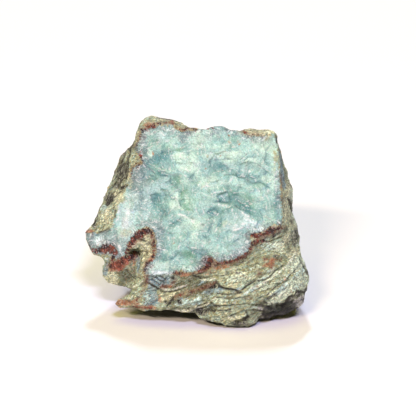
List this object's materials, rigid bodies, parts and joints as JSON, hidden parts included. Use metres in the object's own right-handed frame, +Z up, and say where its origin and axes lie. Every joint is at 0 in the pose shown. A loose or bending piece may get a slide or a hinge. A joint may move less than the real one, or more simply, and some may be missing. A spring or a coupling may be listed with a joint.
{
  "type": "rough larimar",
  "caption": "Rough broken stone: a leaning blue-green pectolite face edged by a red-brown rind, in a block of grey-olive altered basalt with a flat base.",
  "frame": {"origin": "middle of the stone's outer box, on the ground that its base rests on", "axes": "+Z up, the blue face looks towards -Y and up, +X to the viewer's right"},
  "size_m": [0.0794, 0.0589, 0.0664],
  "materials": {
    "stone": "rough broken mineral, blue face satin, matrix dull"
  },
  "bodies": {
    "root": {"rough_larimar": "stone"}
  },
  "joints": []
}
